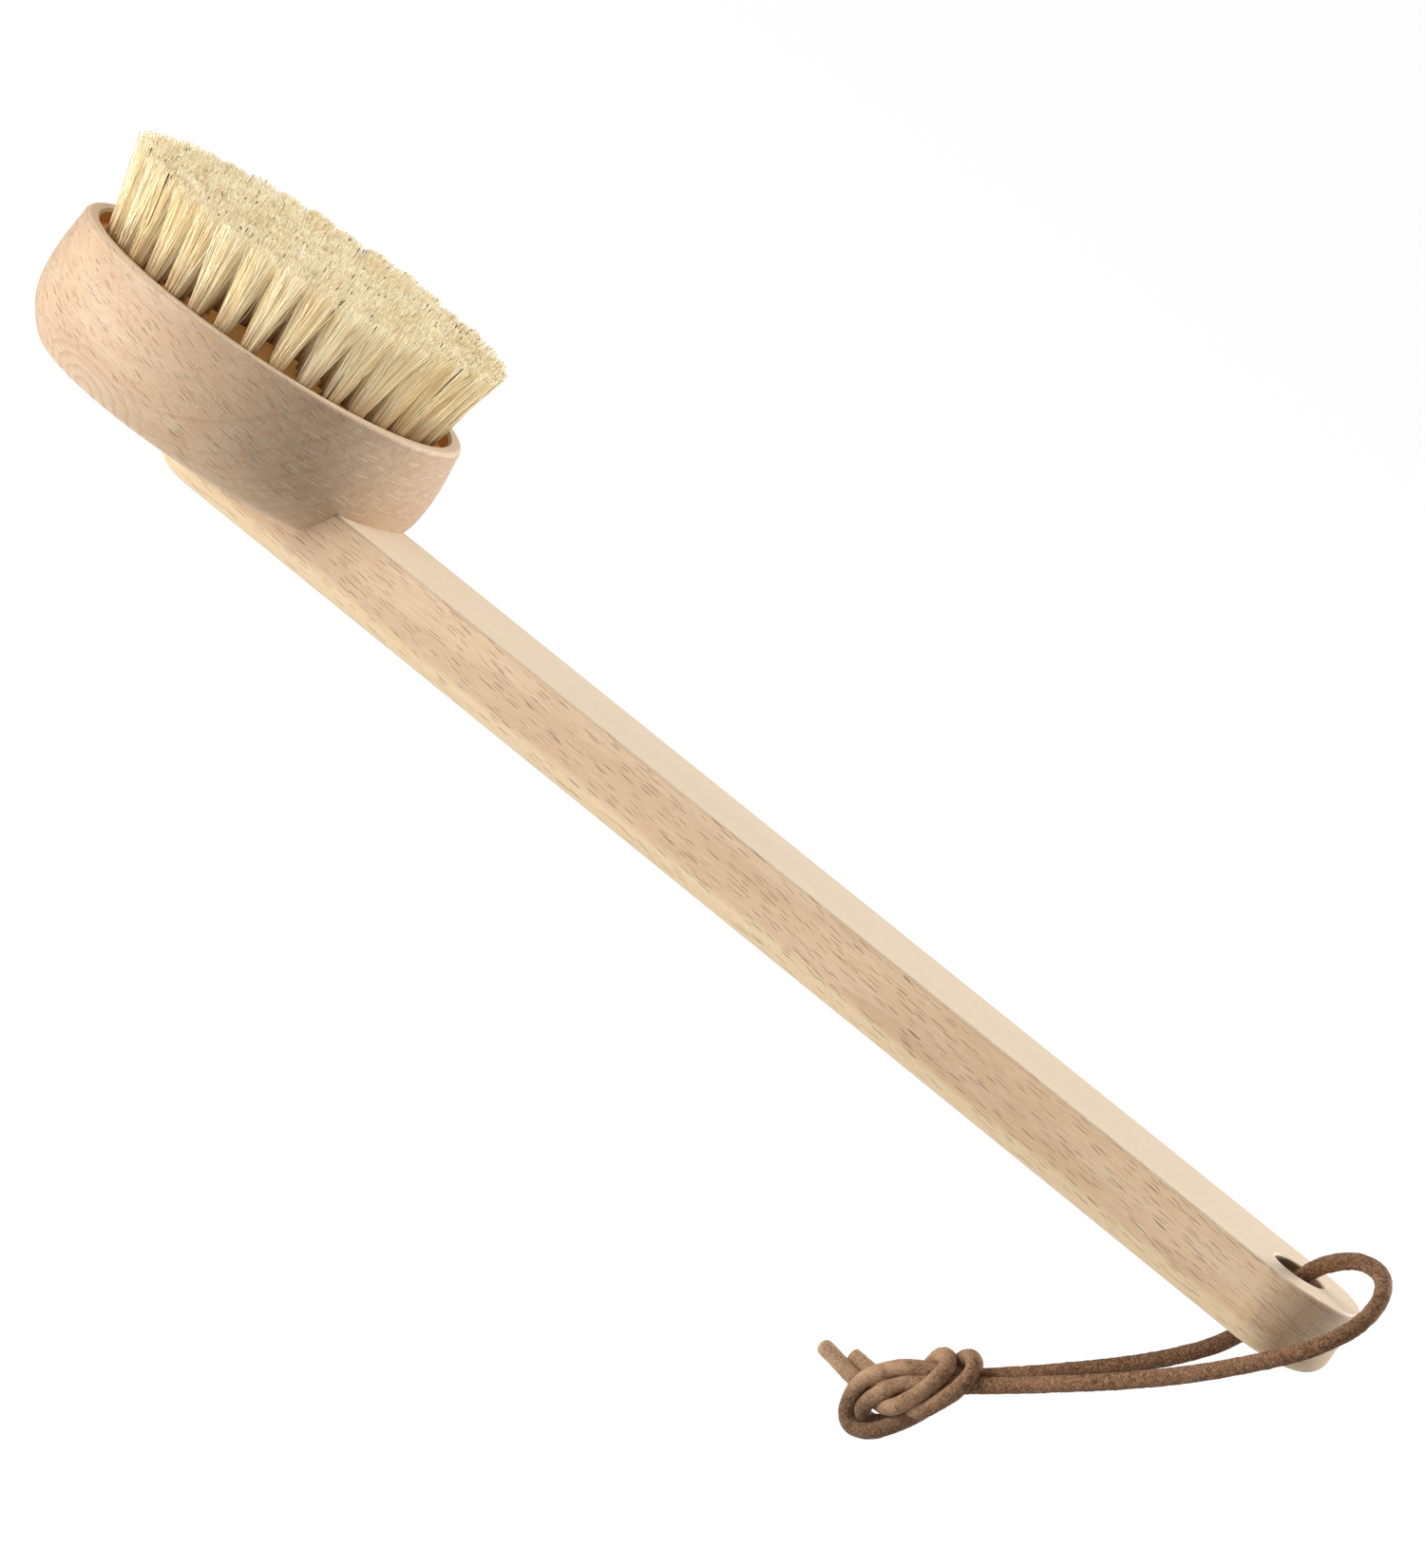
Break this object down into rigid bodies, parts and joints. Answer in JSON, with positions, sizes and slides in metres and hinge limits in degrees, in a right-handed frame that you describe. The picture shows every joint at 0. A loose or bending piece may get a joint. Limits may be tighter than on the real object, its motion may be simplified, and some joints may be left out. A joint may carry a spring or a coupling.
{
  "type": "body brush",
  "caption": "Deep round wooden brush head full of flared natural-fibre tufts, slid onto a long flat wooden stick with a half-round end and a knotted hanging cord.",
  "frame": {"origin": "on the stick's flat back face, under the centre of the round head", "axes": "+X along the stick from the head to the free end, +Z the way the bristles point, +Y to the left when looking along +X with the bristles up"},
  "size_m": [0.4037, 0.102, 0.1287],
  "materials": {
    "handle_wood": "sanded and lightly oiled beech, matt, short dark pore flecks along the grain",
    "head_wood": "turned beech, matt, short dark pore flecks, end grain at two sides",
    "tuft_fibre": "stiff pale plant fibre, trimmed flat, with a few black strands",
    "anchor_wire": "plain flat wire, hidden in the tuft holes",
    "cord_leather": "round raw leather cord with a suede surface, mottled brown"
  },
  "bodies": {
    "handle": {"handle": "handle_wood"},
    "head": {"head_body": "head_wood", "tufts_ring_1_outer": "tuft_fibre", "tufts_ring_2": "tuft_fibre", "tufts_ring_3": "tuft_fibre", "tufts_ring_4": "tuft_fibre", "tufts_ring_5": "tuft_fibre", "tufts_ring_6": "tuft_fibre", "tufts_centre": "tuft_fibre", "anchors_ring_1_outer": "anchor_wire", "anchors_ring_2": "anchor_wire", "anchors_ring_3": "anchor_wire", "anchors_ring_4": "anchor_wire", "anchors_ring_5": "anchor_wire", "anchors_ring_6": "anchor_wire", "anchors_centre": "anchor_wire"},
    "cord": {"hang_cord": "cord_leather", "cord_knot": "cord_leather"}
  },
  "joints": [
    {"name": "head_slide", "type": "slide", "parent": "handle", "child": "head", "axis": [-1, 0, 0], "range_m": [0, 0.065]},
    {"name": "cord_swing", "type": "hinge", "parent": "handle", "child": "cord", "pos_m": [0.328, 0, 0.0086], "axis": [0, 0, 1], "range_deg": [-50, 120]}
  ]
}
